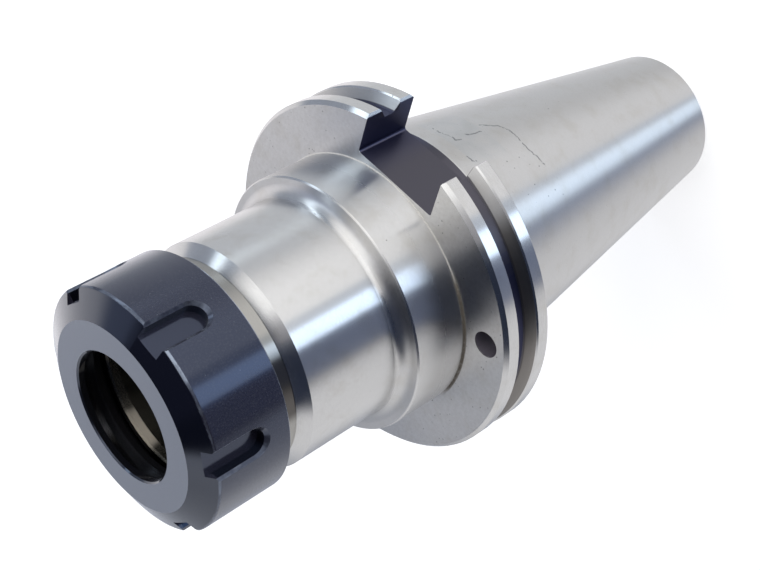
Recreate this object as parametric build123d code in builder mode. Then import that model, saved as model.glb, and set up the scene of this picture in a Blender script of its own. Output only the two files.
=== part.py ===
"""Collet chuck holder: a steep-taper tool holder with a grooved flange and a clamping nut.

The row frame has its origin at the centre of the gauge circle, where the taper is gauge_dia wide.
+Z runs along the tool axis, out of the nose. +X runs through the shallow drive slot.
The holder stands on the small end of its taper. All sizes are in millimetres.
"""

import os
from math import cos, radians, sin, sqrt, tan

from build123d import *

os.makedirs("parts", exist_ok=True)

# Steep taper, size 50: 7 on diameter in 24 of length, measured from the gauge circle
gauge_dia = 69.85
taper_length = 101.75
taper_per_length = 7 / 24
taper_end_chamfer = 0.7

# Rear bore for the pull stud: pilot, thread and the drill's runout below it
pilot_dia = 25.0
pilot_depth = 11.5
drawbar_minor_dia = 20.752
drawbar_hole_depth = 61.5
through_bore_dia = 12.0

# Flange with the tool changer's groove
flange_dia = 97.5
flange_rear = 3.2
flange_front = 19.1
flange_chamfer = 1.0
groove_centre = 11.1
groove_width = 6.5
groove_depth = 3.125
groove_flank_angle = 30.0
groove_edge_chamfer = 0.35

# Drive slots: two of one width whose floors lie at different distances from the axis
slot_width = 25.7
near_slot_floor = 35.5
far_slot_floor = 37.7
slot_corner_radius = 0.8
slot_edge_chamfer = 0.8

# Body, with the collar as a step out from it and a chamfered neck behind the nut
body_dia = 60.0
body_root_radius = 3.0
collar_step = 5.0
collar_front = 35.0
collar_chamfer = 0.4
neck_step = 2.8
neck_length = 5.0
neck_front = 72.0

# Nose: outside thread as its plain major cylinder, and the collet's seat inside
nose_dia = 50.0
nose_length = 13.5
nose_chamfer = 1.0
undercut_depth = 1.2
undercut_width = 2.6
seat_mouth_dia = 41.0
seat_half_angle = 8.0
seat_length = 37.0
seat_mouth_chamfer = 0.5
shank_step = 1.3
shank_bore_floor = 14.5

# Coolant way in the flange: tapped hole with a screw, counterbore and a slanted duct
coolant_rim_distance = 6.75
coolant_angle = -69.6
coolant_mouth_dia = 7.0
coolant_mouth_depth = 5.0
coolant_tapped_dia = 5.0
coolant_seat_depth = 10.1
coolant_duct_dia = 4.0
duct_height = 5.4
duct_rise_angle = 10.0
screw_clearance = 0.05
screw_length = 5.0
screw_socket = 3.0
screw_socket_depth = 2.5
screw_chamfer = 0.4

# Clamping nut
nut_dia = 63.0
nut_gap = 0.1
nut_length = 24.1
nut_face_dia = 49.2
nut_cone_length = 3.4
nut_corner_radius = 0.8
nut_rear_chamfer = 0.4
thread_clearance = 0.05
nut_mouth_dia = 33.5
nut_mouth_length = 2.0
nut_mouth_chamfer = 0.4
nut_shoulder_gap = 0.8
nut_relief_depth = 0.6
nut_relief_width = 2.4
chamber_dia = 43.6
wire_groove_depth = 0.75
wire_dia = 1.2
wire_play = 0.1
wire_gap_angle = 24.0

# Wrench slots of the nut
wrench_slots = 6
wrench_slot_width = 6.8
wrench_slot_wall = 2.45
wrench_slot_length = 17.2
wrench_slot_angle = -7.0
wrench_edge_chamfer = 0.8

# Eccentric ring that pulls the collet out
ring_clearance = 0.06
ring_front_gap = 0.05
ring_cone_angle = 30.0
ring_wall = 1.6
lip_height = 2.44
lip_thickness = 1.6
lip_offset = 0.7

# Sizes that follow from the ones above
gauge_radius = gauge_dia / 2
small_end_radius = gauge_radius - taper_length * taper_per_length / 2
flange_radius = flange_dia / 2
groove_floor_radius = flange_radius - groove_depth
body_radius = body_dia / 2
collar_radius = body_radius + collar_step
neck_radius = body_radius - neck_step
neck_rear = neck_front - neck_length
body_front = neck_rear - neck_step
nose_radius = nose_dia / 2
nose_front = neck_front + nose_length
undercut_radius = nose_radius - undercut_depth
seat_mouth_radius = seat_mouth_dia / 2
seat_floor_radius = seat_mouth_radius - seat_length * tan(radians(seat_half_angle))
shank_radius = seat_floor_radius - shank_step
coolant_radius = flange_radius - coolant_rim_distance
nut_radius = nut_dia / 2
nut_rear = neck_front + nut_gap
nut_front = nut_rear + nut_length
nut_bore_radius = nose_radius + thread_clearance
relief_radius = nut_bore_radius + nut_relief_depth
mouth_radius = nut_mouth_dia / 2
wrench_slot_floor = relief_radius + wrench_slot_wall
chamber_radius = chamber_dia / 2
chamber_front = nut_front - nut_mouth_length
chamber_rear = nose_front + nut_shoulder_gap
wire_groove_rear = chamber_rear + 0.6
wire_groove_front = wire_groove_rear + wire_dia + wire_play
ring_rear = wire_groove_front
ring_front = chamber_front - ring_front_gap
ring_radius = chamber_radius - ring_clearance


# Holder body, turned in one piece
with BuildPart() as holder_body:
    with BuildSketch(Plane.XZ) as outline:
        with BuildLine():
            Polyline(
                (0, -taper_length),
                (small_end_radius - taper_end_chamfer, -taper_length),
                (small_end_radius, -taper_length + taper_end_chamfer),
                (gauge_radius, 0),
                (gauge_radius, flange_rear),
                (flange_radius - flange_chamfer, flange_rear),
                (flange_radius, flange_rear + flange_chamfer),
                (flange_radius, flange_front - flange_chamfer),
                (flange_radius - flange_chamfer, flange_front),
                (collar_radius, flange_front),
                (collar_radius, collar_front - collar_chamfer),
                (collar_radius - collar_chamfer, collar_front),
                (body_radius, collar_front),
                (body_radius, body_front),
                (neck_radius, neck_rear),
                (neck_radius, neck_front),
                (undercut_radius, neck_front),
                (undercut_radius, neck_front + undercut_width),
                (nose_radius, neck_front + undercut_width + undercut_depth),
                (nose_radius, nose_front - nose_chamfer),
                (nose_radius - nose_chamfer, nose_front),
                (0, nose_front),
                close=True,
            )
        make_face()
        root = outline.vertices().sort_by_distance((body_radius, collar_front, 0))[0]
        fillet(root, radius=body_root_radius)
    revolve(axis=Axis.Z)

    # Collet's seat, the shank's clearance bore and the coolant bore through to the rear
    with BuildSketch(Plane.XZ):
        with BuildLine():
            Polyline(
                (0, nose_front),
                (seat_mouth_radius + seat_mouth_chamfer, nose_front),
                (seat_mouth_radius, nose_front - seat_mouth_chamfer),
                (seat_floor_radius, nose_front - seat_length),
                (shank_radius, nose_front - seat_length),
                (shank_radius, shank_bore_floor),
                (0, shank_bore_floor),
                close=True,
            )
        make_face()
    revolve(axis=Axis.Z, mode=Mode.SUBTRACT)
    with BuildSketch(Plane.XY.offset(-taper_length)):
        Circle(through_bore_dia / 2)
    extrude(amount=taper_length + shank_bore_floor, mode=Mode.SUBTRACT)

    # Pull stud's pilot bore and tapped hole, at the thread's minor size
    with BuildSketch(Plane.XY.offset(-taper_length)):
        Circle(drawbar_minor_dia / 2)
    extrude(amount=drawbar_hole_depth, mode=Mode.SUBTRACT)
    with BuildSketch(Plane.XY.offset(-taper_length)):
        Circle(pilot_dia / 2)
    extrude(amount=pilot_depth, mode=Mode.SUBTRACT)

    # Tool changer's V groove, with its edges broken
    half_mouth = groove_width / 2
    half_floor = half_mouth - groove_depth * tan(radians(groove_flank_angle))
    with BuildSketch(Plane.XZ):
        with BuildLine():
            Polyline(
                (groove_floor_radius, groove_centre - half_floor),
                (flange_radius - groove_edge_chamfer, groove_centre - half_mouth),
                (flange_radius, groove_centre - half_mouth - groove_edge_chamfer),
                (flange_radius + 1, groove_centre - half_mouth - groove_edge_chamfer),
                (flange_radius + 1, groove_centre + half_mouth + groove_edge_chamfer),
                (flange_radius, groove_centre + half_mouth + groove_edge_chamfer),
                (flange_radius - groove_edge_chamfer, groove_centre + half_mouth),
                (groove_floor_radius, groove_centre + half_floor),
                close=True,
            )
        make_face()
    revolve(axis=Axis.Z, mode=Mode.SUBTRACT)

    # Drive slots: the walls open out at the rim by the edge chamfer
    half_slot = slot_width / 2
    rim_depth = sqrt(flange_radius**2 - half_slot**2) - slot_edge_chamfer
    for turn, floor_distance in ((0, near_slot_floor), (180, far_slot_floor)):
        with BuildSketch(Plane.XY.offset(flange_rear).rotated((0, 0, turn))) as slot_outline:
            with BuildLine():
                Polyline(
                    (floor_distance, -half_slot),
                    (rim_depth, -half_slot),
                    (flange_radius + 2, -half_slot - (flange_radius + 2 - rim_depth)),
                    (flange_radius + 2, half_slot + (flange_radius + 2 - rim_depth)),
                    (rim_depth, half_slot),
                    (floor_distance, half_slot),
                    close=True,
                )
            make_face()
            fillet(slot_outline.vertices().group_by(Axis.X)[0], radius=slot_corner_radius)
        extrude(amount=flange_front - flange_rear, mode=Mode.SUBTRACT)

    # Coolant ways: counterbore, tapped hole, its seat for the screw and the hole to the rear face
    with PolarLocations(coolant_radius, 2, start_angle=coolant_angle):
        with Locations((0, 0, flange_front)):
            CounterBoreHole(
                coolant_tapped_dia / 2, coolant_mouth_dia / 2, coolant_mouth_depth, coolant_seat_depth
            )
            Hole(coolant_duct_dia / 2, flange_front - flange_rear)

    # Slanted ducts from the coolant holes to the coolant bore
    duct_length = coolant_radius / cos(radians(duct_rise_angle))
    for turn in (coolant_angle, coolant_angle + 180):
        outward = Vector(cos(radians(turn)), sin(radians(turn)), 0)
        mouth = outward * coolant_radius + Vector(0, 0, duct_height)
        inward = outward * -cos(radians(duct_rise_angle)) + Vector(0, 0, sin(radians(duct_rise_angle)))
        with BuildSketch(Plane(mouth, z_dir=inward)):
            Circle(coolant_duct_dia / 2)
        extrude(amount=duct_length, mode=Mode.SUBTRACT)

holder_body.part.label = "holder_body"
export_step(holder_body.part, "parts/holder_body.step")


# Coolant screw beside the shallow slot: a socket set screw down on its seat
screw_radius = coolant_tapped_dia / 2 - screw_clearance
screw_seat = flange_front - coolant_seat_depth
with BuildPart() as coolant_screw_1:
    with Locations(Plane.XY.offset(screw_seat)):
        with PolarLocations(coolant_radius, 1, start_angle=coolant_angle):
            Cylinder(screw_radius, screw_length, align=(Align.CENTER, Align.CENTER, Align.MIN))
    chamfer(coolant_screw_1.edges().group_by(Axis.Z)[-1], length=screw_chamfer)
    with BuildSketch(coolant_screw_1.faces().sort_by(Axis.Z)[-1]):
        RegularPolygon(screw_socket / 2, 6, major_radius=False)
    extrude(amount=-screw_socket_depth, mode=Mode.SUBTRACT)

coolant_screw_1.part.label = "coolant_screw_1"
export_step(coolant_screw_1.part, "parts/coolant_screw_1.step")


# Coolant screw on the other side of the axis
with BuildPart() as coolant_screw_2:
    with Locations(Plane.XY.offset(screw_seat)):
        with PolarLocations(coolant_radius, 1, start_angle=coolant_angle + 180):
            Cylinder(screw_radius, screw_length, align=(Align.CENTER, Align.CENTER, Align.MIN))
    chamfer(coolant_screw_2.edges().group_by(Axis.Z)[-1], length=screw_chamfer)
    with BuildSketch(coolant_screw_2.faces().sort_by(Axis.Z)[-1]):
        RegularPolygon(screw_socket / 2, 6, major_radius=False)
    extrude(amount=-screw_socket_depth, mode=Mode.SUBTRACT)

coolant_screw_2.part.label = "coolant_screw_2"
export_step(coolant_screw_2.part, "parts/coolant_screw_2.step")


# Clamping nut: the nose thread's bore behind, the ring's chamber in the middle, the mouth in front
with BuildPart() as clamping_nut:
    with BuildSketch(Plane.XZ) as nut_outline:
        with BuildLine():
            Polyline(
                (nut_bore_radius + nut_rear_chamfer, nut_rear),
                (nut_radius - nut_rear_chamfer, nut_rear),
                (nut_radius, nut_rear + nut_rear_chamfer),
                (nut_radius, nut_front - nut_cone_length),
                (nut_face_dia / 2, nut_front),
                (mouth_radius + nut_mouth_chamfer, nut_front),
                (mouth_radius, nut_front - nut_mouth_chamfer),
                (mouth_radius, chamber_front),
                (chamber_radius, chamber_front),
                (chamber_radius, wire_groove_front),
                (chamber_radius + wire_groove_depth, wire_groove_front),
                (chamber_radius + wire_groove_depth, wire_groove_rear),
                (chamber_radius, wire_groove_rear),
                (chamber_radius, chamber_rear),
                (relief_radius, chamber_rear),
                (relief_radius, chamber_rear - nut_relief_width),
                (nut_bore_radius, chamber_rear - nut_relief_width - nut_relief_depth),
                (nut_bore_radius, nut_rear + nut_rear_chamfer),
                close=True,
            )
        make_face()
        corner = nut_outline.vertices().sort_by_distance((nut_radius, nut_front - nut_cone_length, 0))[0]
        fillet(corner, radius=nut_corner_radius)
    revolve(axis=Axis.Z)

    # Wrench slots: open at the front, round at the rear, with the edges broken at the rim
    slot_half = wrench_slot_width / 2
    end_centre = nut_front - wrench_slot_length + slot_half
    rim_cut_floor = sqrt(nut_radius**2 - slot_half**2) - wrench_edge_chamfer
    for index in range(wrench_slots):
        turn = wrench_slot_angle + index * 360 / wrench_slots
        outward = Vector(cos(radians(turn)), sin(radians(turn)), 0)
        across = Vector(-sin(radians(turn)), cos(radians(turn)), 0)
        with BuildSketch(Plane(outward * wrench_slot_floor, x_dir=across, z_dir=outward)):
            with Locations((0, end_centre)):
                Circle(slot_half)
                Rectangle(wrench_slot_width, wrench_slot_length, align=(Align.CENTER, Align.MIN))
        extrude(amount=nut_radius, mode=Mode.SUBTRACT)
        with BuildSketch(Plane(outward * rim_cut_floor, x_dir=across, z_dir=outward)):
            with Locations((0, end_centre)):
                Circle(slot_half)
                Rectangle(wrench_slot_width, wrench_slot_length, align=(Align.CENTER, Align.MIN))
        extrude(amount=nut_radius - rim_cut_floor + 0.2, taper=-45, mode=Mode.SUBTRACT)

clamping_nut.part.label = "clamping_nut"
export_step(clamping_nut.part, "parts/clamping_nut.step")


# Eccentric ring: a cone that presses on the collet, and a lip set off the axis that pulls it out
cone_length = ring_front - ring_rear - lip_thickness
ring_rear_radius = ring_radius - ring_wall
ring_front_radius = ring_rear_radius - cone_length * tan(radians(ring_cone_angle))
with BuildPart() as extractor_ring:
    with BuildSketch(Plane.XZ):
        with BuildLine():
            Polyline(
                (ring_front_radius, ring_front),
                (ring_radius, ring_front),
                (ring_radius, ring_rear + lip_thickness),
                (ring_rear_radius, ring_rear + lip_thickness),
                close=True,
            )
        make_face()
    revolve(axis=Axis.Z)
    with BuildSketch(Plane.XY.offset(ring_rear)):
        Circle(ring_radius)
        with Locations((lip_offset, 0)):
            Circle(ring_radius - lip_height, mode=Mode.SUBTRACT)
    extrude(amount=lip_thickness)

extractor_ring.part.label = "extractor_ring"
export_step(extractor_ring.part, "parts/extractor_ring.step")


# Snap wire that keeps the ring in the nut, open over wire_gap_angle
wire_radius = wire_dia / 2
wire_track = chamber_radius + wire_groove_depth - wire_radius - 0.02
wire_height = wire_groove_front - wire_radius
with BuildPart() as ring_retaining_wire:
    with BuildSketch(Plane.XZ.rotated((0, 0, wire_gap_angle / 2))):
        with Locations((wire_track, wire_height)):
            Circle(wire_radius)
    revolve(axis=Axis.Z, revolution_arc=360 - wire_gap_angle)

ring_retaining_wire.part.label = "ring_retaining_wire"
export_step(ring_retaining_wire.part, "parts/ring_retaining_wire.step")
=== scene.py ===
"""Dresses the collet chuck holder: finishes, threads, studio and the photograph's camera.

Every length is in metres unless a name ends in _mm. The frame is the CAD's: origin at the centre of the
gauge circle, +Z out of the nose, +X through the shallow drive slot, and the holder stands on its small end.
"""

import logging
import math
from dataclasses import dataclass, field
from enum import Enum
from functools import reduce
from typing import Any, Optional, Union

import bpy
from mathutils import Matrix, Vector


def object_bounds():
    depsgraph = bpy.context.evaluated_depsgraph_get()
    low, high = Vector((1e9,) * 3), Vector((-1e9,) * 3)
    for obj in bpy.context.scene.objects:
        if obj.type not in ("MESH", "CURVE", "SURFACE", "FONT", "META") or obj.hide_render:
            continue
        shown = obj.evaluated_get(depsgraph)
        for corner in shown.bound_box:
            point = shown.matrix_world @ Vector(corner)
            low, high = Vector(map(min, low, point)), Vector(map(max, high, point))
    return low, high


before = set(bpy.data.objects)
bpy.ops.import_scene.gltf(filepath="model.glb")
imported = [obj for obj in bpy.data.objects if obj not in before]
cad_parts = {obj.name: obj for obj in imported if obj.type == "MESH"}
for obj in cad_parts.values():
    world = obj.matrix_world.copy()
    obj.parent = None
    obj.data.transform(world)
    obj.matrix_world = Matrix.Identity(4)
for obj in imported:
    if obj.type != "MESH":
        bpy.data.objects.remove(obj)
cad_low, cad_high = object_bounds()

MM = 0.001
DEGREES_PER_RADIAN = math.degrees(1.0)
log = logging.getLogger("holder")


class Space(Enum):
    """Colour spaces in which a colour may be written."""

    SCREEN = "screen"
    LINEAR = "linear"


@dataclass(frozen=True)
class Tint:
    """A colour by its three channels, from 0 to 1.

    Attributes:
        red: Red channel.
        green: Green channel.
        blue: Blue channel.
        space: Whether the channels are screen values or linear ones.
    """

    red: float
    green: float
    blue: float
    space: Space = Space.SCREEN

    def linear(self) -> tuple[float, float, float, float]:
        """Gives the colour as Blender reads it.

        Returns:
            Linear red, green and blue, and an alpha of 1.
        """
        channels = (self.red, self.green, self.blue)
        if self.space is Space.SCREEN:
            channels = tuple(
                value / 12.92 if value <= 0.04045 else ((value + 0.055) / 1.055) ** 2.4 for value in channels
            )
        return (*channels, 1.0)


def linear_tint(red: float, green: float, blue: float) -> Tint:
    """Gives a colour by its linear channels."""
    return Tint(red, green, blue, Space.LINEAR)


WHITE = linear_tint(1.0, 1.0, 1.0)
Number = Union[float, "Signal"]
Pair = tuple[float, float]
Triple = tuple[float, float, float]
# Lowest value, highest value and the width over which a mask fades outside them.
Limits = Triple
Socket = bpy.types.NodeSocket


class Signal:
    """A shader socket on which the usual operators add Math nodes."""

    def __init__(self, shader: "Shader", socket: Socket) -> None:
        """Wraps a socket.

        Args:
            shader: The node tree's builder.
            socket: An output socket with one value.
        """
        self.shader = shader
        self.socket = socket

    def _math(self, operation: str, first: Number, second: Number = 0.0) -> "Signal":
        """Adds one Math node.

        Args:
            operation: The node's operation.
            first: First value or socket.
            second: Second value or socket.

        Returns:
            The node's output.
        """
        return self.shader.node("Math", {"operation": operation}, {0: first, 1: second}).value()

    def __add__(self, other: Number) -> "Signal":
        """Adds."""
        return self._math("ADD", self, other)

    def __radd__(self, other: Number) -> "Signal":
        """Adds, number first."""
        return self._math("ADD", other, self)

    def __sub__(self, other: Number) -> "Signal":
        """Subtracts."""
        return self._math("SUBTRACT", self, other)

    def __rsub__(self, other: Number) -> "Signal":
        """Subtracts from a number."""
        return self._math("SUBTRACT", other, self)

    def __mul__(self, other: Number) -> "Signal":
        """Multiplies."""
        return self._math("MULTIPLY", self, other)

    def __rmul__(self, other: Number) -> "Signal":
        """Multiplies, number first."""
        return self._math("MULTIPLY", other, self)

    def __truediv__(self, other: Number) -> "Signal":
        """Divides."""
        return self._math("DIVIDE", self, other)

    def __abs__(self) -> "Signal":
        """Takes the size without the sign."""
        return self._math("ABSOLUTE", self)

    def __pow__(self, other: Number) -> "Signal":
        """Raises to a power."""
        return self._math("POWER", self, other)

    def low(self, other: Number) -> "Signal":
        """Takes the lower of two values."""
        return self._math("MINIMUM", self, other)

    def high(self, other: Number) -> "Signal":
        """Takes the higher of two values."""
        return self._math("MAXIMUM", self, other)

    def ramp(self, start: float, end: float) -> "Signal":
        """Rises smoothly from 0 at start to 1 at end, or falls where end is the lower.

        Args:
            start: Value at which the result is 0.
            end: Value at which the result is 1.

        Returns:
            The result between 0 and 1.
        """
        settings = {"interpolation_type": "SMOOTHSTEP"}
        low, high = (start, end) if start < end else (end, start)
        out = (0.0, 1.0) if start < end else (1.0, 0.0)
        sockets = {"Value": self, "From Min": low, "From Max": high, "To Min": out[0], "To Max": out[1]}
        return self.shader.node("MapRange", settings, sockets).value("Result")

    def wave(self) -> "Signal":
        """Rises from 0 to 1 and falls back once in each whole step of the value."""
        return self._math("PINGPONG", self, 0.5) * 2.0

    def between(self, low: float, high: float, soft: float) -> "Signal":
        """Is 1 between two limits and falls to 0 outside them.

        Args:
            low: Lower limit.
            high: Upper limit.
            soft: Width of the fall on either side.

        Returns:
            The mask.
        """
        return self.ramp(low - soft, low) * self.ramp(high + soft, high)


class Placed:
    """A node just added, with short ways to its outputs."""

    def __init__(self, shader: "Shader", made: bpy.types.Node) -> None:
        """Wraps a node."""
        self.shader = shader
        self.made = made

    def out(self, name: Union[str, int] = 0) -> Socket:
        """Gives an output socket by its name or number."""
        return self.made.outputs[name]

    def value(self, name: Union[str, int] = 0) -> Signal:
        """Gives an output as a Signal."""
        return Signal(self.shader, self.made.outputs[name])


class Shader:
    """Builds a node tree for a material or a world."""

    # Socket numbers of a Mix node that mixes colours.
    MIX_SHARE = 0
    MIX_FIRST = 6
    MIX_SECOND = 7
    MIX_RESULT = 2

    def __init__(self, tree: bpy.types.NodeTree) -> None:
        """Empties the tree.

        Args:
            tree: The node tree that is filled.
        """
        self.tree = tree
        tree.nodes.clear()

    def node(self, kind: str, settings: dict[str, Any], sockets: dict[Union[str, int], Any]) -> Placed:
        """Adds a node.

        Args:
            kind: The node's type, without the word ShaderNode that each starts with.
            settings: Its properties, which are set first.
            sockets: Values, sockets or Signals of its inputs.

        Returns:
            The node.
        """
        made = self.tree.nodes.new("ShaderNode" + kind)
        for name, setting in settings.items():
            setattr(made, name, setting)
        for name, given in sockets.items():
            if isinstance(given, Signal):
                given = given.socket
            if isinstance(given, Socket):
                self.tree.links.new(given, made.inputs[name])
            else:
                made.inputs[name].default_value = given
        return Placed(self, made)

    def mix(self, share: Number, first: Any, second: Any) -> Socket:
        """Mixes two colours.

        Args:
            share: Share of the second colour.
            first: Tint or colour socket.
            second: Tint or colour socket.

        Returns:
            The mixed colour's socket.
        """
        pair = [each.linear() if isinstance(each, Tint) else each for each in (first, second)]
        sockets = {self.MIX_SHARE: share, self.MIX_FIRST: pair[0], self.MIX_SECOND: pair[1]}
        return self.node("Mix", {"data_type": "RGBA"}, sockets).out(self.MIX_RESULT)

    def paint(self, colour: Any, layers: list[tuple[Number, Tint]]) -> Socket:
        """Lays tints over a colour, one after the other.

        Args:
            colour: Tint or colour socket underneath.
            layers: Mask and tint of each layer, the lowest first.

        Returns:
            The painted colour's socket.
        """
        for mask, tint in layers:
            colour = self.mix(mask, colour, tint)
        return colour

    def axes(self, vector: Socket) -> tuple[Signal, Signal, Signal]:
        """Splits a vector into its three parts."""
        made = self.node("SeparateXYZ", {}, {0: vector})
        return made.value(0), made.value(1), made.value(2)

    def vector(self, x: Number, y: Number, z: Number) -> Socket:
        """Joins three values to a vector."""
        return self.node("CombineXYZ", {}, {0: x, 1: y, 2: z}).out()

    def arctan(self, y: Signal, x: Signal) -> Signal:
        """Gives the angle of a direction from x towards y, in radians."""
        return self.node("Math", {"operation": "ARCTAN2"}, {0: y, 1: x}).value()

    def noise(self, vector: Socket, scale: float, detail: float = 3.0, rough: float = 0.55) -> Signal:
        """Adds a noise texture.

        Args:
            vector: Coordinates.
            scale: Features per unit of the coordinates.
            detail: Octaves.
            rough: Strength of the finer octaves.

        Returns:
            The noise, from 0 to 1.
        """
        sockets = {"Vector": vector, "Scale": scale, "Detail": detail, "Roughness": rough}
        return self.node("TexNoise", {}, sockets).value()

    def specks(self, vector: Socket, scale: float, size: float, keep: float) -> Signal:
        """Scatters small round specks.

        Args:
            vector: Coordinates.
            scale: Cells per unit of the coordinates.
            size: A speck's radius as a share of its cell.
            keep: Share of the cells that have one.

        Returns:
            The specks' mask.
        """
        made = self.node("TexVoronoi", {}, {"Vector": vector, "Scale": scale})
        chance = self.axes(made.out("Color"))[0]
        full_size = size * 0.5
        full_strength = keep * 0.8
        return made.value("Distance").ramp(size, full_size) * chance.ramp(keep, full_strength)


@dataclass(frozen=True)
class Zone:
    """A part of the turned surface.

    Attributes:
        heights: Limits along the axis, in millimetres.
        radii: Limits of the distance from the axis in millimetres, or None for any.
        degrees: Limits of the angle round the axis, or None for any.
    """

    heights: Limits
    radii: Optional[Limits] = None
    degrees: Optional[Limits] = None


class Place:
    """Where a shaded point lies on the turned holder, in millimetres, and which way its surface faces.

    Attributes:
        radius: The point's distance from the axis.
        safe_radius: That distance, kept above 0 for divisions.
        angle: Its angle round the axis in radians.
        degrees: That angle in degrees.
        level: 1 where the surface is level and faces the nose's end.
        outward: How far the surface faces away from the axis, from -1 to 1.
        turned: Coordinates in which a pattern follows the tool's cut round the axis.
    """

    MM_PER_METRE = 1000.0
    LEAST_RADIUS_MM = 0.01
    # Part of the normal along the axis at which a surface starts to count as level, and fully does.
    LEVEL = (0.9, 0.98)
    # Weight of the angle beside height and radius in the turned coordinates.
    TURN_WEIGHT = 3.0
    # Tilt of a normal round the axis that is too much to be a fault of the mesh, and the most that is one.
    TILT = (0.09, 0.05)

    def __init__(self, shader: Shader) -> None:
        """Reads the object coordinates and the true normal.

        Args:
            shader: The tree that is built.
        """
        self.shader = shader
        position = shader.node("TexCoord", {}, {}).out("Object")
        sockets = {0: position, "Scale": self.MM_PER_METRE}
        self.point = shader.node("VectorMath", {"operation": "SCALE"}, sockets).out()
        self.x, self.y, self.z = shader.axes(self.point)
        self.radius = (self.x * self.x + self.y * self.y) ** 0.5
        self.safe_radius = self.radius.high(self.LEAST_RADIUS_MM)
        self.angle = shader.arctan(self.y, self.x)
        self.degrees = self.angle * DEGREES_PER_RADIAN
        normal_x, self.normal_y, self.normal_z = shader.axes(self._own_normal("True Normal"))
        self.level = self.normal_z.ramp(*self.LEVEL)
        self.outward = (normal_x * self.x + self.normal_y * self.y) / self.safe_radius
        self.turned = shader.vector(self.z, self.radius, self.angle * self.TURN_WEIGHT)

    def _turned_vector(self, vector: Socket, start: str, end: str) -> Socket:
        """Turns a normal from one set of axes to another.

        Args:
            vector: The normal.
            start: The axes in which it is given.
            end: The axes in which it is wanted.

        Returns:
            The turned normal.
        """
        way = {"vector_type": "NORMAL", "convert_from": start, "convert_to": end}
        return self.shader.node("VectorTransform", way, {0: vector}).out()

    def _own_normal(self, kind: str) -> Socket:
        """Gives one of the Geometry node's normals in the object's own axes."""
        normal = self.shader.node("NewGeometry", {}, {}).out(kind)
        return self._turned_vector(normal, "WORLD", "OBJECT")

    def round_normal(self, share: Signal) -> Socket:
        """Gives the smooth normal without its small tilt round the axis, which a turned surface doesn't have.

        Args:
            share: Where the surface is a turned one.

        Returns:
            The normal in the world's axes.
        """
        shader = self.shader
        smooth = self._own_normal("Normal")
        smooth_x, smooth_y, _ = shader.axes(smooth)
        around_x = self.y * -1.0 / self.safe_radius
        around_y = self.x / self.safe_radius
        tilt = smooth_x * around_x + smooth_y * around_y
        tilt = tilt * abs(tilt).ramp(*self.TILT) * share
        excess = shader.vector(tilt * around_x, tilt * around_y, 0.0)
        straight = shader.node("VectorMath", {"operation": "SUBTRACT"}, {0: smooth, 1: excess})
        return self._turned_vector(straight.out(), "OBJECT", "WORLD")

    def inside(self, zone: Zone) -> Signal:
        """Masks a zone of the surface.

        Args:
            zone: Its limits.

        Returns:
            The mask.
        """
        mask = self.z.between(*zone.heights)
        if zone.radii is not None:
            mask = mask * self.radius.between(*zone.radii)
        if zone.degrees is not None:
            mask = mask * self.degrees.between(*zone.degrees)
        return mask

    def towards(self, degrees: float) -> Signal:
        """Tells how far the point lies towards an angle round the axis.

        Args:
            degrees: The angle.

        Returns:
            1 at that angle, 0 a quarter turn away and -1 opposite.
        """
        turn = math.radians(degrees)
        return (self.x * math.cos(turn) + self.y * math.sin(turn)) / self.safe_radius

    def line(self, first: Pair, second: Pair, radius_mm: float, half_width_mm: float, sway: Signal) -> Signal:
        """Draws a straight line on the unrolled side.

        Args:
            first: Height in millimetres and angle in degrees of one end.
            second: Height and angle of the other end.
            radius_mm: Radius at which angles are unrolled.
            half_width_mm: Half the line's width.
            sway: How far the line leaves its course, in millimetres.

        Returns:
            The line's mask.
        """
        unroll = math.radians(radius_mm)
        start = (first[0], first[1] * unroll)
        run = (second[0] - start[0], second[1] * unroll - start[1])
        squared_run = run[0] ** 2 + run[1] ** 2
        rise = self.z + sway - start[0]
        turn = self.angle * radius_mm + sway - start[1]
        along = (rise * (run[0] / squared_run) + turn * (run[1] / squared_run)).high(0.0).low(1.0)
        off_rise = rise - along * run[0]
        off_turn = turn - along * run[1]
        squared_off = off_rise * off_rise + off_turn * off_turn
        edge = half_width_mm ** 2
        core = edge * 0.2
        return squared_off.ramp(edge, core)


@dataclass(frozen=True)
class Steel:
    """Bare steel, turned or ground.

    Attributes:
        tint: Colour of its reflection.
        soil: Colour of the faint dirt on a small part.
        roughness: Roughness of the clean surface.
        metallic: Metallic share.
        grain: Depth of the turning marks, from 0 to 1.
        stain: Strength of the brownish cloudy stain, from 0 to 1.
        streak: How much further the turning marks spread light along the axis than round it.
        streak_turn: Direction of that spread, as a share of a full turn.
    """

    tint: Tint = Tint(0.84, 0.838, 0.835)
    soil: Tint = Tint(0.28, 0.26, 0.24)
    roughness: float = 0.2
    metallic: float = 1.0
    grain: float = 0.25
    stain: float = 0.35
    streak: float = 0.85
    streak_turn: float = 0.25

    def fixed(self) -> dict[str, Any]:
        """Gives the surface values that stay the same over the whole piece."""
        return {"Anisotropic": self.streak, "Anisotropic Rotation": self.streak_turn}


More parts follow.
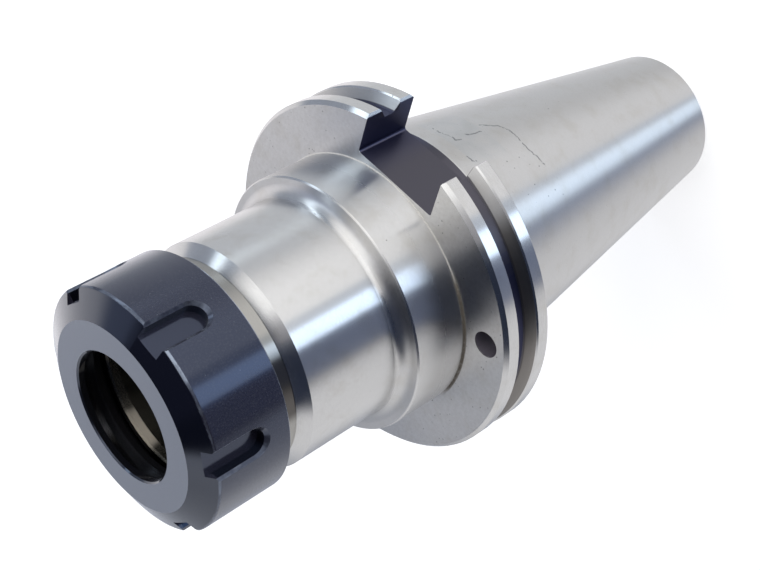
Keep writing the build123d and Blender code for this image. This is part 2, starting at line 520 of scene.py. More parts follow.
@dataclass(frozen=True)
class Oxide:
    """Black oxide on steel, glossy like a dark glaze: little mirror face on, much at a grazing view.

    Attributes:
        tint: Colour of the black layer itself.
        soil: Colour of the faint dirt on a small part.
        worn_and_highlight: Colour where the oxide has come off, which on the nut's front corner also stands
            for a painted highlight.
        sheen: Colour of its reflection.
        index: Refractive index, which sets how strong the reflection is.
        roughness: Roughness of the black surface.
        metallic: Metallic share.
        film: Share of a thin oil film over the oxide.
        film_roughness: Roughness of that film.
        film_index: Refractive index of that film.
        dust: Share of a fine dust that shows at a grazing view.
        dust_roughness: Spread of that dust's light.
        dust_tint: Colour of that dust.
    """

    tint: Tint = linear_tint(0.018, 0.017, 0.027)
    soil: Tint = Tint(0.12, 0.12, 0.13)
    worn_and_highlight: Tint = Tint(0.62, 0.66, 0.72)
    sheen: Tint = linear_tint(0.44, 0.60, 1.0)
    index: float = 1.62
    roughness: float = 0.16
    metallic: float = 0.0
    film: float = 0.45
    film_roughness: float = 0.09
    film_index: float = 1.5
    dust: float = 0.45
    dust_roughness: float = 0.25
    dust_tint: Tint = Tint(0.86, 0.88, 0.94)

    def fixed(self) -> dict[str, Any]:
        """Gives the surface values that stay the same over the whole piece.

        Returns:
            The surface's sockets with their values.
        """
        return {
            "IOR": self.index,
            "Specular Tint": self.sheen.linear(),
            "Coat Weight": self.film,
            "Coat Roughness": self.film_roughness,
            "Coat IOR": self.film_index,
            "Sheen Weight": self.dust,
            "Sheen Roughness": self.dust_roughness,
            "Sheen Tint": self.dust_tint.linear(),
        }


@dataclass
class Look:
    """What a finish shows over a piece.

    Attributes:
        colour: Base colour.
        roughness: Roughness.
        metallic: Metallic share.
        height: Height of the bump, from 0 to 1.
        depth_mm: Depth of the bump at height 1.
        fixed: Further values of the surface.
        normal: Normal that the bump starts from, or None for the mesh's own.
    """

    colour: Socket
    roughness: Number
    metallic: Number
    height: Signal
    depth_mm: float
    fixed: dict[str, Any]
    normal: Optional[Socket] = None

    def close(self, shader: Shader) -> None:
        """Closes a tree with this surface and its bump.

        Args:
            shader: The tree.
        """
        relief = {"Strength": 1.0, "Distance": self.depth_mm * MM, "Height": self.height}
        if self.normal is not None:
            relief["Normal"] = self.normal
        bump = shader.node("Bump", {}, relief)
        sockets = {"Base Color": self.colour, "Roughness": self.roughness, "Metallic": self.metallic}
        sockets |= {"Normal": bump.out(), **self.fixed}
        surface = shader.node("BsdfPrincipled", {}, sockets)
        shader.node("OutputMaterial", {}, {"Surface": surface.out()})


def new_material(name: str) -> tuple[bpy.types.Material, Shader]:
    """Makes an empty material.

    Args:
        name: The material's name.

    Returns:
        The material and its tree's builder.
    """
    material = bpy.data.materials.new(name)
    material.use_nodes = True
    return material, Shader(material.node_tree)


def fill_slots(piece: bpy.types.Object, material: bpy.types.Material) -> None:
    """Puts a material in every slot of a piece, whose mesh stays as it is.

    Args:
        piece: The piece.
        material: Its finish.
    """
    if not piece.material_slots:
        piece.data.materials.append(material)
    for material_slot in piece.material_slots:
        material_slot.material = material


def put_on(material: bpy.types.Material, *names: str) -> list[bpy.types.Object]:
    """Dresses CAD nodes in a material.

    Args:
        material: The finish.
        names: The nodes' names.

    Returns:
        The dressed nodes.
    """
    nodes = [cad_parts[name] for name in names]
    for node in nodes:
        fill_slots(node, material)
    return nodes


@dataclass(frozen=True)
class BodyZones:
    """Surfaces of the holder that have a look of their own, and places of its wear, its dirt and its painted
    light.
    """

    taper: Zone = Zone((-110.0, 0.3, 0.3))
    rear_neck: Zone = Zone((0.4, 3.25, 0.1), radii=(34.85, 35.0, 0.02))
    groove_floor: Zone = Zone((9.2, 13.0, 0.2), radii=(45.425, 45.975, 0.2))
    flank: Zone = Zone((7.9, 14.3, 0.1), radii=(46.0, 48.3, 0.1))
    # Where the flange ends towards the nose.
    front_face: Zone = Zone((18.8, 19.4, 0.1))
    collar: Zone = Zone((19.1, 35.0, 0.1), radii=(34.7, 35.2, 0.1))
    # The round steps from the collar to the body.
    fillets: Zone = Zone((34.0, 60.0, 1.0), radii=(30.4, 34.6, 0.3))
    # Behind the nut.
    neck: Zone = Zone((67.0, 72.0, 0.2), radii=(27.0, 27.4, 0.1))
    nose_thread: Zone = Zone((76.0, 84.3, 0.2), radii=(24.9, 25.1, 0.05))
    stud_thread: Zone = Zone((-89.5, -42.0, 0.3), radii=(10.2, 10.5, 0.05))
    nose_bore: Zone = Zone((42.0, 100.0, 2.0), radii=(0.0, 22.5, 0.5))
    seat_mouth: Zone = Zone((83.3, 85.45, 0.4))
    nose_end: Zone = Zone((85.48, 100.0, 0.08))
    # Where the collar meets the flange, a painted highlight line, and dirt beside it.
    root_highlight: Zone = Zone((19.0, 19.35, 0.08), radii=(34.9, 35.25, 0.08), degrees=(-48.0, 140.0, 8.0))
    root_grime: Zone = Zone((19.0, 19.5, 0.4), radii=(34.9, 35.45, 0.4), degrees=(-100.0, -50.0, 12.0))
    # Beside the near drive slot.
    film: Zone = Zone((-17.5, -5.5, 1.0), degrees=(-6.0, 24.0, 5.0))
    # Specks on the taper.
    fallout: Zone = Zone((-27.0, -14.0, 1.5), degrees=(-36.0, -10.0, 5.0))


@dataclass(frozen=True)
class BodyTints:
    """Colours on the holder's steel, each named for the surface, the wear or the painted light that shows it.
    """

    stain: Tint = Tint(0.76, 0.745, 0.71)
    grain: Tint = Tint(0.74, 0.74, 0.745)
    face: Tint = Tint(0.7, 0.69, 0.68)
    film: Tint = Tint(0.74, 0.77, 0.79)
    slot: Tint = Tint(0.37, 0.362, 0.395)
    # Painted shade on the drive slots' walls and on the slot floor beside the wall at +Y.
    wall: Tint = Tint(0.29, 0.30, 0.41)
    # An olive tone with painted shade in the V groove over it.
    flank: Tint = Tint(0.49, 0.47, 0.45)
    neck: Tint = Tint(0.56, 0.55, 0.52)
    neck_shade: Tint = Tint(0.28, 0.26, 0.25)
    # Painted shade inside the nose's bore.
    bore: Tint = Tint(0.46, 0.45, 0.42)
    # A brownish stain with a painted highlight in the seat's mouth.
    seat_stain_and_highlight: Tint = Tint(0.95, 0.91, 0.84)
    # Painted shade on the nose's end face, between the ring and the seat.
    nose_face_shade: Tint = Tint(0.22, 0.22, 0.22)
    hole: Tint = Tint(0.44, 0.42, 0.46)
    # Painted highlight along the collar's root.
    root_highlight: Tint = Tint(0.93, 0.92, 0.90)
    # Painted shade in the threads' grooves.
    thread: Tint = Tint(0.3, 0.3, 0.31)
    pit: Tint = Tint(0.16, 0.14, 0.13)
    mark: Tint = Tint(0.36, 0.37, 0.38)
    grime: Tint = Tint(0.36, 0.31, 0.22)


@dataclass
class HolderBody:
    """The turned holder: taper, flange, collar, body and nose.

    Attributes:
        slot_floors_mm: Distances of the two drive slots' floors from the axis.
        slot_half_width_mm: Half the width of a drive slot.
        flange_mm: Heights of the flange's rear and front face.
        rim_radius_mm: Radius of the flange.
        coolant_radius_mm: Distance of the coolant holes from the axis.
        coolant_degrees: Angle of the first coolant hole.
        hole_radius_mm: Radius of a coolant hole's mouth.
        nose_pitch_mm: Pitch of the nose's thread.
        stud_pitch_mm: Pitch of the pull stud's thread.
        thread_depth: Depth of the threads in the bump's unit.
        relief_mm: The bump's unit.
        collar_foot_mm: Heights over which the collar turns from plain to rougher towards its root.
        neck_shade_degrees: Angles of the stretch of the neck behind the nut that is painted in shade.
        seat_glint_degrees: Angle at which the painted highlight on the band in the seat's mouth is brightest.
        stain_lines_mm: Heights and angles in degrees along each stain line of the taper.
        stain_radius_mm: Radius at which those angles are measured.
        stain_half_width_mm: Half the width of a stain line.
        zones: Where its surfaces, its wear, its dirt and its painted light are.
        steel: Its bare steel.
        tints: The colours on it.
    """

    slot_floors_mm: Pair = (35.5, 37.7)
    slot_half_width_mm: float = 12.85
    flange_mm: Pair = (3.2, 19.1)
    rim_radius_mm: float = 48.75
    coolant_radius_mm: float = 42.0
    coolant_degrees: float = -69.6
    hole_radius_mm: float = 3.5
    nose_pitch_mm: float = 1.5
    stud_pitch_mm: float = 3.0
    thread_depth: float = 30.0
    relief_mm: float = 0.006
    collar_foot_mm: Pair = (27.0, 22.0)
    neck_shade_degrees: Limits = (-70.0, -42.0, 8.0)
    seat_glint_degrees: float = 165.0
    stain_lines_mm: tuple[tuple[Pair, ...], ...] = (
        ((-6.6, 19.8), (-6.4, 14.0), (-7.3, 10.2), (-7.6, 6.4), (-9.0, 6.2)),
        ((-12.1, 8.1), (-14.0, 7.4), (-16.8, 6.9)),
        ((-19.1, 10.7), (-23.5, 6.9), (-25.3, 1.1), (-24.6, -7.2), (-25.5, -15.1), (-26.6, -22.9)),
        ((-5.2, -2.2), (-5.2, -6.0), (-6.6, -7.5)),
    )
    stain_radius_mm: float = 32.0
    stain_half_width_mm: float = 0.32
    zones: BodyZones = BodyZones()
    steel: Steel = Steel()
    tints: BodyTints = BodyTints()

    def dress(self) -> list[bpy.types.Object]:
        """Gives the CAD body its finish."""
        return put_on(BodyFinish(self).build(), "holder_body")


class BodyFinish:
    """The holder's finish. Each mask is 1 on what it is named for, and the thread's is its depth."""

    def __init__(self, body: HolderBody) -> None:
        """Starts the material and builds the patterns and masks that more than one part of it reads.

        Args:
            body: The holder's sizes, zones and tints.
        """
        self.body = body
        self.material, self.shader = new_material("ground_steel_finish")
        shader, zones = self.shader, body.zones
        self.place = place = Place(shader)
        self.grain = shader.noise(place.turned, 9.0, 2.0)
        self.broad = shader.noise(place.point, 0.16, 4.0, 0.6)
        self.fine = shader.noise(place.point, 0.9, 3.0, 0.6)
        glint = place.towards(body.seat_glint_degrees).ramp(0.95, 0.985)
        self.face = place.inside(zones.front_face) * place.level
        self.bore = place.inside(zones.nose_bore)
        # The seat mouth's band: a brownish stain with a painted highlight that peaks at one angle.
        self.seat_stain_and_highlight = self.bore * place.inside(zones.seat_mouth) * (glint * 0.85 + 0.15)
        self.flank = place.inside(zones.flank)
        self.neck = place.inside(zones.neck)
        self.root_highlight = place.inside(zones.root_highlight)
        self.grime = place.inside(zones.root_grime) * self.fine.ramp(0.0, 0.5)
        self.black = self._blackened()
        self.holes = self._coolant_holes()
        self.thread = self._thread()
        self.pits = self._pits()
        self.marks = self._marks()

    def build(self) -> bpy.types.Material:
        """Builds the finish from its parts.

        Returns:
            The material.
        """
        steel = self.body.steel
        metallic = self.grime * 0.7 + self.pits * 0.5 + self.marks * 0.3
        metallic = steel.metallic - metallic - self.root_highlight * 0.5 - self.seat_stain_and_highlight * 0.4 - self.holes * 0.9
        height = self.grain * steel.grain - self.pits * 0.8 + self.fine * 0.1
        Look(
            colour=self._colour(),
            roughness=self._roughness(),
            metallic=metallic.high(0.0),
            height=height - self.thread * self.body.thread_depth,
            depth_mm=self.body.relief_mm,
            fixed=steel.fixed(),
            normal=self.place.round_normal((1.0 - self.black) * (1.0 - self.holes)),
        ).close(self.shader)
        return self.material

    def _colour(self) -> Socket:
        """Paints the steel, what is blackened, the painted shade, and the wear, dirt and painted highlights
        on top.

        Returns:
            The base colour.
        """
        body, place, tints = self.body, self.place, self.body.tints
        film = place.inside(body.zones.film) * self.broad.ramp(0.3, 0.6)
        walls = abs(place.normal_y).ramp(0.6, 0.8)
        slot_side = place.y.ramp(2.0, body.slot_half_width_mm - 0.35)
        upper_flank = place.degrees.ramp(-38.0, -28.0)
        neck_shade = place.degrees.between(*body.neck_shade_degrees)
        return self.shader.paint(body.steel.tint, [
            (self.broad.ramp(0.45, 0.75) * body.steel.stain, tints.stain),
            (self.grain.ramp(0.35, 0.7) * 0.22, tints.grain),
            (self.face * self.fine.ramp(0.3, 0.8) * 0.3, tints.face),
            (film * 0.25, tints.film),
            (self.black, tints.slot),
            # Painted shade: the slot walls, and the slot floor darker towards the wall at +Y.
            (self.black * walls, tints.wall),
            (self.black * slot_side * 0.6, tints.wall),
            # Painted shade in the V groove over an olive tone, strongest at angles below -38 degrees.
            (self.flank * (0.85 - upper_flank * 0.6), tints.flank),
            (self.neck * 0.7, tints.neck),
            # Painted shade on a stretch of the neck behind the nut.
            (self.neck * neck_shade * 0.8, tints.neck_shade),
            # Painted shade over the nose's bore.
            (self.bore, tints.bore),
            # Painted highlight over a brownish stain in the seat's mouth, brightest towards the glint angle.
            (self.seat_stain_and_highlight * (0.9 - self.grain * 0.3), tints.seat_stain_and_highlight),
            # Painted shade on the nose's end face.
            (place.inside(body.zones.nose_end) * place.level, tints.nose_face_shade),
            (self.holes, tints.hole),
            # Painted highlight along the collar's root.
            (self.root_highlight * 0.8, tints.root_highlight),
            # Painted shade, darker towards each thread groove's root.
            (self.thread * 0.5, tints.thread),
            (self.pits * 0.75, tints.pit),
            (self.marks * self.fine.ramp(0.36, 0.5) * 0.7, tints.mark),
            (self.grime * 0.8, tints.grime),
        ])

    def _roughness(self) -> Signal:
        """Adds up the roughness of the steel and of what lies on it.

        Returns:
            The roughness.
        """
        body, place = self.body, self.place
        rim = place.radius.ramp(body.rim_radius_mm - 1.2, body.rim_radius_mm - 1.0)
        collar = place.inside(body.zones.collar) * (place.z.ramp(*body.collar_foot_mm) * 0.07 + 0.03)
        turned = place.inside(body.zones.taper) * 0.06 + self.face * 0.06 - rim * 0.05
        turned = turned + collar + place.inside(body.zones.fillets) * 0.09 + self.grain * 0.05
        dulled = self.black * 0.19 + self.grime * 0.3 + self.flank * 0.15 + self.seat_stain_and_highlight * 0.3
        return turned + dulled + body.steel.roughness

    def _blackened(self) -> Signal:
        """Masks the drive slots, the rear neck and the groove's floor, which keep their black oxide.

        Returns:
            The mask.
        """
        body, place = self.body, self.place
        rear, front = body.flange_mm
        near_floor, far_floor = body.slot_floors_mm
        slots = abs(place.y).ramp(body.slot_half_width_mm + 0.1, body.slot_half_width_mm + 0.05)
        slots = slots * place.z.between(rear - 0.1, front - 0.1, 0.05)
        near = place.x.ramp(near_floor - 0.1, near_floor - 0.05)
        far = place.x.ramp(0.1 - far_floor, 0.05 - far_floor)
        groove = place.inside(body.zones.groove_floor) * place.outward.ramp(0.3, 0.6)
        return (slots * near.high(far)).high(place.inside(body.zones.rear_neck)).high(groove)

    def _coolant_holes(self) -> Signal:
        """Masks the two oily coolant holes below the flange's front face.

        Returns:
            The mask.
        """
        body, place = self.body, self.place
        turn = math.radians(body.coolant_degrees)
        across = place.x * math.cos(turn) + place.y * math.sin(turn)
        aside = place.y * math.cos(turn) - place.x * math.sin(turn)
        off = abs(across) - body.coolant_radius_mm
        front = body.flange_mm[1]
        hole = (off * off + aside * aside).ramp((body.hole_radius_mm + 0.1) ** 2, body.hole_radius_mm ** 2)
        return hole * place.z.ramp(front - 0.1, front - 0.3)

    def _thread(self) -> Signal:
        """Grooves the nose's thread and the pull stud's thread, as deep as 1 at the root of each turn.

        Returns:
            Depth of the groove.
        """
        body, place = self.body, self.place
        turns = place.angle * (1.0 / math.tau)
        nose = (place.z * (1.0 / body.nose_pitch_mm) - turns).wave() * place.inside(body.zones.nose_thread)
        stud = (place.z * (1.0 / body.stud_pitch_mm) - turns).wave() * place.inside(body.zones.stud_thread)
        return nose.high(stud)

    def _pits(self) -> Signal:
        """Scatters pits on the flange's front face and specks over the rest.

        Returns:
            The mask.
        """
        shader, point = self.shader, self.place.point
        pits = shader.specks(point, 1.0, 0.26, 0.14) * self.face * self.broad.ramp(0.35, 0.6)
        specks = shader.specks(point, 0.22, 0.05, 0.3)
        fallout = shader.specks(point, 1.1, 0.26, 0.16) * self.place.inside(self.body.zones.fallout)
        return pits.high(specks).high(fallout) * self.bore.ramp(0.6, 0.4)

    def _marks(self) -> Signal:
        """Draws the thin stain lines on the taper, where the spindle's mouth touched it.

        Returns:
            The mask.
        """
        body, place = self.body, self.place
        sway = (self.shader.noise(place.point, 0.4, 3.0, 0.6) - 0.5) * 2.4
        lines = [
            place.line(first, second, body.stain_radius_mm, body.stain_half_width_mm, sway)
            for points in body.stain_lines_mm
            for first, second in zip(points, points[1:])
        ]
        return reduce(Signal.high, lines) * place.z.ramp(0.2, -0.5)


@dataclass(frozen=True)
class NutTints:
    """Colours on the nut's black oxide. The deep one is the darkest black: on the cone, and as painted shade
    on the slot walls.
    """

    dusty: Tint = linear_tint(0.085, 0.083, 0.090)
    deep: Tint = linear_tint(0.002, 0.002, 0.004)
    inside: Tint = linear_tint(0.008, 0.008, 0.011)
    face: Tint = linear_tint(0.235, 0.25, 0.29)
    speck: Tint = Tint(0.42, 0.44, 0.46)
    stain: Tint = Tint(0.50, 0.46, 0.43)


@dataclass
class ClampingNut:
    """The clamping nut with its wrench slots.

    Attributes:
        front_mm: Height of the nut's front face.
        cone_mm: Height at which the front cone begins.
        rear_edge_mm: Height up to which the rear edge is scuffed.
        radius_mm: Outer radius.
        slots: Where the wrench slots are cut.
        rubbed_and_highlight_degrees: Stretches of the front corner that are painted pale, as wear with a
            painted highlight, with how much.
        relief_mm: The bump's unit.
        oxide: Its black finish.
        tints: The colours on it.
    """

    front_mm: float = 96.2
    cone_mm: float = 92.8
    rear_edge_mm: float = 72.8
    radius_mm: float = 31.5
    slots: Zone = Zone((74.0, 92.6, 0.1), radii=(26.0, 31.2, 0.1))
    rubbed_and_highlight_degrees: tuple[tuple[Limits, float], ...] = (((-27.0, -11.0, 4.0), 0.9), ((-2.0, 26.0, 6.0), 0.3))
    relief_mm: float = 0.003
    oxide: Oxide = Oxide()
    tints: NutTints = NutTints()

    def dress(self) -> list[bpy.types.Object]:
        """Gives the CAD nut its finish."""
        return put_on(self.material(), "clamping_nut")

    def material(self) -> bpy.types.Material:
        """Builds the nut's black finish with its grey front face, edges pale from wear and a painted
        highlight on the front corner.

        Returns:
            The material.
        """
        material, shader = new_material("black_nut_finish")
        place = Place(shader)
        grain = shader.noise(place.turned, 7.0, 2.0)
        broad = shader.noise(place.point, 0.35, 3.0, 0.6)
        fine = shader.noise(place.point, 2.2, 3.0, 0.65)
        outside = place.radius.ramp(self.radius_mm - 0.3, self.radius_mm - 0.15)
        face = place.z.ramp(self.front_mm - 0.05, self.front_mm - 0.01) * place.level
        cone = place.normal_z.between(0.85, 0.93, 0.02)
        inside = place.outward.ramp(-0.1, -0.3) * place.radius.ramp(24.0, 23.0)
        # Walls of the wrench slots, which get painted shade.
        walls = place.inside(self.slots) * place.outward.between(-0.3, 0.45, 0.1)
        # Wear on the edges, with a painted highlight on the front corner.
        wear = self._wear_and_highlight(place, broad)
        dust = outside * fine.ramp(0.45, 0.8)
        specks = shader.specks(place.point, 0.7, 0.12, 0.12) * outside
        stains = face * fine.ramp(0.55, 0.75) * broad.ramp(0.45, 0.6)
        film = (cone * 0.4 + inside * 0.4 + self.oxide.film) * walls.ramp(1.0, 0.0)
        Look(
            colour=shader.paint(self.oxide.tint, [
                (dust * 0.4, self.tints.dusty),
                # The darkest black on the cone, and painted shade on the wrench slots' walls.
                (cone.high(walls), self.tints.deep),
                (inside, self.tints.inside),
                (face, self.tints.face),
                (specks * 0.6, self.tints.speck),
                (stains * 0.35, self.tints.stain),
                # Wear on the edges, with a painted highlight on the front corner.
                (wear * 0.8, self.oxide.worn_and_highlight),
            ]),
            roughness=self.oxide.roughness + face * 0.2 - cone * 0.08 - inside * 0.1 + dust * 0.08,
            metallic=wear * 0.6,
            height=grain * 0.3 + fine * 0.25,
            depth_mm=self.relief_mm,
            fixed={**self.oxide.fixed(), "Coat Weight": film},
        ).close(shader)
        return material

    def _wear_and_highlight(self, place: Place, broad: Signal) -> Signal:
        """Masks the pale edges: the front corner, from wear with a painted highlight, and the scuffed slots'
        bevels and rear edge.

        Args:
            place: The shaded point.
            broad: Broad patches.

        Returns:
            The mask.
        """
        corner = place.z.between(self.cone_mm - 0.75, self.cone_mm + 0.25, 0.2)
        corner = corner * place.normal_z.between(0.12, 0.8, 0.1)
        bevel = place.outward.between(0.45, 0.9, 0.05) * place.normal_z.between(-0.75, 0.72, 0.05)
        bevel = bevel * place.radius.ramp(self.radius_mm - 1.2, self.radius_mm - 0.8)
        rubbed_and_highlight = place.shader.noise(place.point, 0.11, 1.0).ramp(0.5, 0.65) * 0.35
        # Stretches of the front corner given by angle, where wear and a painted highlight are laid.
        for limits, share in self.rubbed_and_highlight_degrees:
            rubbed_and_highlight = rubbed_and_highlight + place.degrees.between(*limits) * share
        scuffed = broad.ramp(0.4, 0.7) * 0.3 + 0.06
        rear_edge = place.z.ramp(self.rear_edge_mm + 0.2, self.rear_edge_mm) * 0.3
        return (corner * rubbed_and_highlight + bevel * (scuffed + rear_edge)).low(1.0)


@dataclass
class SmallParts:
    """The ring in the nut, its snap wire and the two coolant screws.

    Attributes:
        ring: Finish of the ring.
        wire: Finish of the snap wire.
        screw: Finish of the screws.
        relief_mm: The bump's unit.
    """

    ring: Oxide = Oxide(
        tint=linear_tint(0.010, 0.010, 0.012), sheen=linear_tint(0.8, 0.85, 1.0), roughness=0.12, film=1.0
    )
    wire: Steel = Steel(tint=Tint(0.6, 0.59, 0.57), roughness=0.3)
    screw: Oxide = Oxide(roughness=0.35)
    relief_mm: float = 0.003

    def dress(self) -> list[bpy.types.Object]:
        """Gives each small part its finish.

        Returns:
            The dressed nodes.
        """
        ring = put_on(self.material("black_ring_finish", self.ring), "extractor_ring")
        wire = put_on(self.material("spring_wire_finish", self.wire), "ring_retaining_wire")
        screws = put_on(self.material("screw_finish", self.screw), "coolant_screw_1", "coolant_screw_2")
        return [*ring, *wire, *screws]

    def material(self, label: str, finish: Union[Steel, Oxide]) -> bpy.types.Material:
        """Builds a small part's finish.

        Args:
            label: The material's name.
            finish: Its colours and surface values.

        Returns:
            The material.
        """
        material, shader = new_material(label)
        place = Place(shader)
        grain = shader.noise(place.turned, 8.0, 2.0)
        cloud = shader.noise(place.point, 0.8, 3.0, 0.6)
        Look(
            colour=shader.mix(cloud.ramp(0.3, 0.8) * 0.15, finish.tint, finish.soil),
            roughness=grain * 0.1 + finish.roughness,
            metallic=finish.metallic,
            height=grain,
            depth_mm=self.relief_mm,
            fixed=finish.fixed(),
        ).close(shader)
        return material


@dataclass(frozen=True)
class Panel:
    """A window, a wall or a dark curtain round the holder, by the angles at which it stands, in degrees.

    Attributes:
        name: What it is.
        sides: Azimuths of its left and its right edge at elevation 0.
        ends: Elevations of its lower and its upper edge.
        tint: Its light, where 1 is white.
        soft_sides: Widths over which the left and the right edge fade.
        soft_ends: Widths over which the lower and the upper edge fade.
        lean: Degrees by which the left and the right edge move with each degree of elevation.
    """

    name: str
    sides: Pair
    ends: Pair
    tint: Tint
    soft_sides: Pair
    soft_ends: Pair
    lean: Pair = (0.0, 0.0)

    def mask(self, shader: Shader, azimuth: Signal, elevation: Signal) -> Signal:
        """Builds the mask of the directions that the panel covers.

        Args:
            shader: The world's tree.
            azimuth: Direction's azimuth.
            elevation: Direction's elevation.

        Returns:
            The mask.
        """
        left, right = self.sides
        low, high = self.ends
        half_width = (right - left) / 2
        wrapped = {0: azimuth - (left + right) / 2, 1: 180.0, 2: -180.0}
        across = shader.node("Math", {"operation": "WRAP"}, wrapped).value()
        from_left = across + half_width - elevation * self.lean[0]
        from_right = half_width - across + elevation * self.lean[1]
        fades = [width / 2 for width in (*self.soft_sides, *self.soft_ends)]
        sides = from_left.ramp(-fades[0], fades[0]) * from_right.ramp(-fades[1], fades[1])
        lower = elevation.ramp(low - fades[2], low + fades[2])
        upper = elevation.ramp(high + fades[3], high - fades[3])
        return sides * lower * upper


def room_panels() -> tuple[Panel, ...]:
    """Lists the room's panels, each painted over the ones before it.

    Returns:
        The panels.
    """
    # Name, sides, ends, light, fades of the sides and of the ends, and the lean where there is one.
    rows = (
        ("bright_wall", (-37, 22), (-30, 72), (1.46, 1.46, 1.46), (36, 30), (40, 30), (0.4, 0.3)),
        ("grey_side", (30, 104), (-90, -20), (0.73, 0.75, 0.78), (24, 16), (2, 12)),
        ("grey_side_foot", (30, 104), (-90, -44), (0.66, 0.66, 0.67), (24, 16), (2, 16)),
        ("paper_glow", (108, 150), (-90, 45), (1.02, 1.0, 1.03), (22, 14), (2, 12)),
        ("dim_corner", (146, 190), (-46, 45), (0.42, 0.44, 0.49), (12, 36), (14, 14)),
        ("grey_door", (58, 100), (-24, 60), (0.36, 0.40, 0.48), (8, 8), (14, 10), (0.2, 0.1)),
        ("shade", (32, 50), (-22, 45), (0.36, 0.41, 0.48), (10, 4), (14, 10), (0.3, 0.3)),
        ("upper_grey", (62, 150), (40, 66), (0.32, 0.36, 0.48), (14, 12), (12, 10)),
        ("upper_dim", (-80, -20), (34, 90), (0.36, 0.36, 0.39), (10, 44), (34, 2)),
        ("lower_dim", (-82, -60), (-90, -42), (0.28, 0.34, 0.48), (26, 8), (2, 8)),
        ("curtain", (-103, -52.5), (-42, 90), (0.028, 0.036, 0.062), (22, 3), (8, 2), (-0.5, 0.0)),
        ("curtain_foot", (-84, -52.5), (-46, -20), (0.17, 0.2, 0.29), (10, 3), (8, 12)),
        ("curtain_end", (-58, -46), (-22, 90), (0.08, 0.095, 0.13), (4, 8), (8, 2)),
        ("dark_corner", (95, 200), (58, 90), (0.05, 0.055, 0.09), (10, 12), (8, 2)),
        ("ceiling_gap", (190, 300), (58, 90), (0.02, 0.025, 0.045), (12, 30), (10, 2)),
        ("window_frame", (-38, -27), (-90, -22), (0.6, 0.66, 0.76), (4, 6), (2, 8)),
        ("window_foot", (-62, -38), (-90, -46), (1.08, 1.24, 1.42), (9, 8), (2, 6)),
        ("window", (-53.5, -37), (-48, -20), (1.6, 1.95, 2.45), (3, 4), (6, 10)),
        ("far_window", (50, 61), (-22, 62), (1.7, 1.95, 2.2), (4, 5), (8, 10), (0.4, 0.4)),
    )
    return tuple(
        Panel(name, sides, ends, linear_tint(*glow), *rest) for name, sides, ends, glow, *rest in rows
    )


@dataclass(frozen=True)
class Softbox:
    """A lamp with a square face, turned to the holder, which metal doesn't mirror.

    Attributes:
        name: Its name.
        azimuth: Degrees round the tool axis from +X.
        elevation: Degrees above the gauge plane.
        distance: Metres from the centre of the gauge circle.
        side: Width and height of its face.
        radiance: Brightness of its face, where 1 is white.
        tint: Colour of its light.
    """

    name: str = "top_softbox"
    azimuth: float = 40.0
    elevation: float = 62.0
    distance: float = 1.5
    side: float = 0.7
    radiance: float = 1.2
    tint: Tint = linear_tint(0.93, 0.96, 1.0)

    def hang(self) -> None:
        """Adds the lamp to the scene."""
        data = bpy.data.lights.new(self.name, "AREA")
        data.shape = "SQUARE"
        data.size = self.side
        data.energy = self.radiance * math.pi * self.side ** 2
        data.color = self.tint.linear()[:3]
        lamp = bpy.data.objects.new(self.name, data)
        bpy.context.scene.collection.objects.link(lamp)
        turn = math.radians(self.azimuth)
        rise = math.radians(self.elevation)
        toward = Vector((math.cos(rise) * math.cos(turn), math.cos(rise) * math.sin(turn), math.sin(rise)))
        lamp.location = toward * self.distance
        lamp.rotation_euler = toward.to_track_quat("Z", "Y").to_euler()
        lamp.visible_camera = False
        lamp.visible_glossy = False


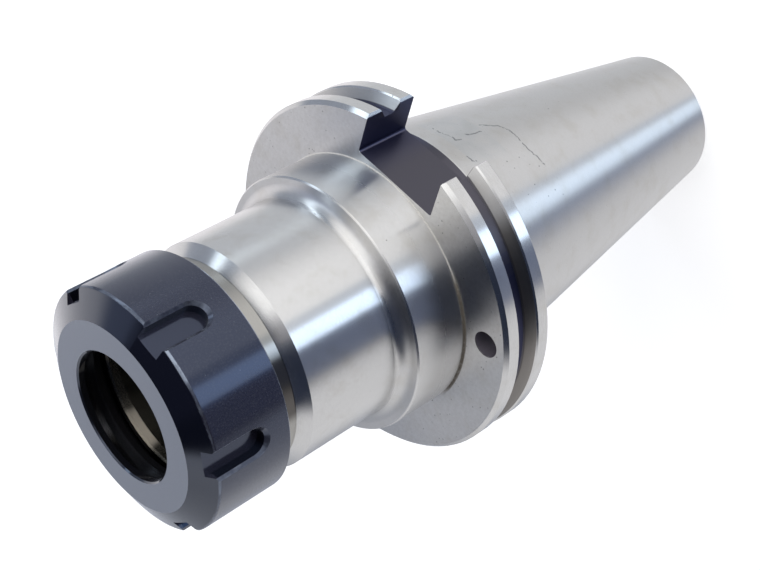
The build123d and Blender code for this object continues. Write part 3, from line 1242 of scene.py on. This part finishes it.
@dataclass
class Studio:
    """Camera, floor and light.

    Attributes:
        eye: Where the camera stands.
        right: The picture's rightward direction.
        up: The picture's upward direction.
        back: The direction from the scene to the camera.
        lens_mm: Focal length.
        sensor_mm: Width of the camera's sensor.
        clip: Nearest and furthest distance that the camera sees.
        floor_radius: Radius of the floor.
        floor_corners: Corners of the floor's outline.
        floor_tint: Colour of the floor.
        floor_glow: Light that the floor adds where it is seen, so that it shows white.
        wall: Light of the room where no panel stands.
        panels: The room's panels.
        lamp: The lamp above.
    """

    eye: Triple = (0.27356, -0.14772, 0.22858)
    right: Triple = (0.20279, -0.66711, -0.71682)
    up: Triple = (0.65290, 0.63769, -0.40876)
    back: Triple = (0.72980, -0.38512, 0.56487)
    lens_mm: float = 68.85
    sensor_mm: float = 36.0
    clip: Pair = (0.01, 20.0)
    floor_radius: float = 1.2
    floor_corners: int = 96
    floor_tint: Tint = Tint(0.92, 0.92, 0.92)
    floor_glow: float = 0.62
    wall: Tint = linear_tint(0.82, 0.82, 0.84)
    panels: tuple[Panel, ...] = field(default_factory=room_panels)
    lamp: Softbox = Softbox()

    def set_camera(self) -> None:
        """Sets the camera at the photograph's place."""
        data = bpy.data.cameras.new("photo_camera")
        data.sensor_fit = "HORIZONTAL"
        data.sensor_width = self.sensor_mm
        data.lens = self.lens_mm
        data.clip_start, data.clip_end = self.clip
        camera = bpy.data.objects.new("photo_camera", data)
        bpy.context.scene.collection.objects.link(camera)
        turn = Matrix((self.right, self.up, self.back)).transposed().to_4x4()
        camera.matrix_world = Matrix.Translation(self.eye) @ turn
        bpy.context.scene.camera = camera

    def lay_floor(self) -> None:
        """Lays the pale floor under the small end."""
        bpy.ops.object.select_all(action="DESELECT")
        under = (0.0, 0.0, cad_low.z)
        bpy.ops.mesh.primitive_circle_add(
            vertices=self.floor_corners, radius=self.floor_radius, fill_type="NGON", location=under
        )
        floor = bpy.context.object
        floor.name = "floor"
        material, shader = new_material("floor_paper")
        path = shader.node("LightPath", {}, {})
        seen = path.value("Is Camera Ray").high(path.value("Is Glossy Ray"))
        seen = seen.high(path.value("Is Transmission Ray"))
        glow = {"Color": WHITE.linear(), "Strength": seen * self.floor_glow}
        lit = shader.node("BsdfDiffuse", {}, {"Color": self.floor_tint.linear()})
        glowing = shader.node("Emission", {}, glow)
        both = shader.node("AddShader", {}, {0: lit.out(), 1: glowing.out()})
        shader.node("OutputMaterial", {}, {"Surface": both.out()})
        fill_slots(floor, material)
        floor.visible_glossy = False
        floor.visible_shadow = False

    def set_room(self) -> None:
        """Surrounds the scene with the room's panels, and with white where the camera sees it."""
        world = bpy.data.worlds.new("studio")
        bpy.context.scene.world = world
        world.use_nodes = True
        shader = Shader(world.node_tree)
        x, y, z = shader.axes(shader.node("TexCoord", {}, {}).out("Generated"))
        rise = shader.node("Math", {"operation": "ARCSINE"}, {0: z}).value()
        azimuth = shader.arctan(y, x) * DEGREES_PER_RADIAN
        elevation = rise * DEGREES_PER_RADIAN
        room: Any = self.wall
        for panel in self.panels:
            room = shader.mix(panel.mask(shader, azimuth, elevation), room, panel.tint)
            room.node.label = panel.name
        path = shader.node("LightPath", {}, {})
        seen = path.value("Is Camera Ray").high(path.value("Is Transmission Ray"))
        colour = shader.mix(seen, room, WHITE)
        background = shader.node("Background", {}, {"Color": colour, "Strength": 1.0})
        shader.node("OutputWorld", {}, {"Surface": background.out()})

    def build(self) -> None:
        """Sets up the whole studio."""
        self.set_camera()
        self.lay_floor()
        self.set_room()
        self.lamp.hang()
        bpy.context.scene.view_settings.view_transform = "Standard"


def main() -> None:
    """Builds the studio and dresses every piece."""
    logging.basicConfig(level=logging.INFO, format="%(message)s")
    Studio().build()
    for part in (HolderBody(), ClampingNut(), SmallParts()):
        for piece in part.dress():
            log.info("dressed %s with %d triangles", piece.name, len(piece.data.loop_triangles))


if __name__ == "__main__":
    main()
